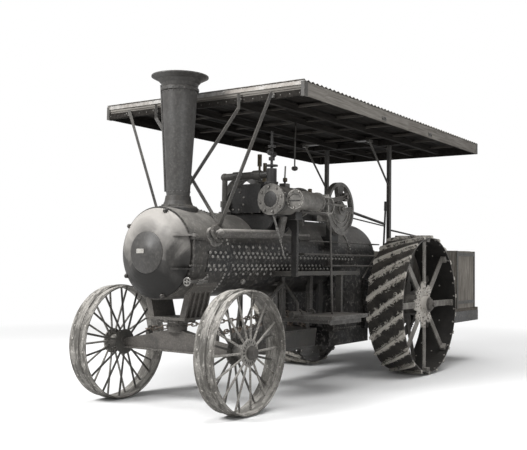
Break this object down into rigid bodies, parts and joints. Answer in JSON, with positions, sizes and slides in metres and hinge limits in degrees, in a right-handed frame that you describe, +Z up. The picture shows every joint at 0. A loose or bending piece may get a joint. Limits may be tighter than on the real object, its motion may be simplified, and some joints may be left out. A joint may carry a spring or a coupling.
{
  "type": "steam traction engine",
  "caption": "Steam traction engine with a side-set two-cylinder engine on the boiler, full canopy, chain steering and spoked iron wheels.",
  "frame": {"origin": "centre of the bounding box on the ground", "axes": "+X to the engine's front, +Y to its left side, +Z up"},
  "size_m": [5.937, 2.404, 3.042],
  "materials": {
    "black_iron": "weathered satin",
    "worn_steel": "oily, worn",
    "cast_iron": "weathered",
    "brass": "tarnished",
    "weathered_wood": "weathered boards",
    "roof_sheet": "dull galvanised sheet",
    "wheel_iron": "muddy, rusted"
  },
  "bodies": {
    "engine": {"smokebox": "black_iron", "boiler_barrel": "black_iron", "firebox": "black_iron", "ash_pan": "black_iron", "stack_base": "cast_iron", "smokestack": "black_iron", "front_pedestal": "cast_iron", "steam_dome": "black_iron", "safety_valve": "brass", "cylinder_saddle": "cast_iron", "outer_cylinder": "cast_iron", "inner_cylinder": "cast_iron", "valve_chest": "cast_iron", "guide_bars": "worn_steel", "crossheads": "worn_steel", "connecting_rods": "worn_steel", "crankshaft": "worn_steel", "crank_disc": "cast_iron", "flywheel": "cast_iron", "crank_bearings": "cast_iron", "exhaust_pipe": "black_iron", "steam_pipe": "black_iron", "governor": "cast_iron", "engine_bracket": "black_iron", "guard_rail": "black_iron", "running_board": "black_iron", "side_step": "black_iron", "belly_tank": "black_iron", "injector": "brass", "drain_valve": "brass", "feed_pipe": "black_iron", "rear_axle": "worn_steel", "side_plates": "black_iron", "countershaft": "worn_steel", "drive_gear": "cast_iron", "platform_frame": "black_iron", "deck": "weathered_wood", "fuel_bunker": "weathered_wood", "canopy_frame": "weathered_wood", "canopy_roof": "roof_sheet", "rear_posts": "black_iron", "front_braces": "black_iron", "steering_column": "black_iron", "steering_gear": "black_iron", "chain_left": "black_iron", "chain_right": "black_iron", "reverse_lever": "black_iron"},
    "smokebox_door": {"smokebox_door": "black_iron"},
    "fire_door": {"fire_door": "black_iron"},
    "front_axle": {"axle_beam": "cast_iron"},
    "front_wheel_left": {"front_wheel_left": "wheel_iron"},
    "front_wheel_right": {"front_wheel_right": "wheel_iron"},
    "rear_wheel_left": {"rear_rim_left": "wheel_iron", "rear_spokes_left": "wheel_iron", "ring_gear_left": "worn_steel"},
    "rear_wheel_right": {"rear_rim_right": "wheel_iron", "rear_spokes_right": "wheel_iron", "ring_gear_right": "worn_steel"},
    "drive_pinion_left": {"pinion_left": "worn_steel"},
    "drive_pinion_right": {"pinion_right": "worn_steel"}
  },
  "joints": [
    {"name": "front_axle_steer", "type": "hinge", "parent": "engine", "child": "front_axle", "pos_m": [2.4215, 0, 0.69], "axis": [0, 0, 1], "range_deg": [-22, 22], "deforming": ["chain_left", "chain_right"]},
    {"name": "front_wheel_left_spin", "type": "hinge", "parent": "front_axle", "child": "front_wheel_left", "pos_m": [2.4215, 0.737, 0.547], "axis": [0, 1, 0], "continuous": true},
    {"name": "front_wheel_right_spin", "type": "hinge", "parent": "front_axle", "child": "front_wheel_right", "pos_m": [2.4215, -0.737, 0.547], "axis": [0, 1, 0], "continuous": true},
    {"name": "rear_wheel_left_spin", "type": "hinge", "parent": "engine", "child": "rear_wheel_left", "pos_m": [-1.0685, 0.8, 0.838], "axis": [0, 1, 0], "continuous": true},
    {"name": "rear_wheel_right_spin", "type": "hinge", "parent": "engine", "child": "rear_wheel_right", "pos_m": [-1.0685, -0.8, 0.838], "axis": [0, 1, 0], "continuous": true},
    {"name": "drive_pinion_left_spin", "type": "hinge", "parent": "engine", "child": "drive_pinion_left", "pos_m": [-1.0085, 0.634, 1.31424], "axis": [0, 1, 0], "continuous": true},
    {"name": "drive_pinion_right_spin", "type": "hinge", "parent": "engine", "child": "drive_pinion_right", "pos_m": [-1.0085, -0.634, 1.31424], "axis": [0, 1, 0], "continuous": true},
    {"name": "smokebox_door_hinge", "type": "hinge", "parent": "engine", "child": "smokebox_door", "pos_m": [2.7285, 0.436, 1.397], "axis": [0, 0, 1], "range_deg": [0, 70]},
    {"name": "fire_door_hinge", "type": "hinge", "parent": "engine", "child": "fire_door", "pos_m": [-0.7965, -0.225, 1.08], "axis": [0, 0, 1], "range_deg": [0, 95]}
  ],
  "couplings": [
    {"joint": "drive_pinion_left_spin", "follows": "rear_wheel_left_spin", "ratio": -4.7143},
    {"joint": "drive_pinion_right_spin", "follows": "rear_wheel_right_spin", "ratio": -4.7143}
  ]
}
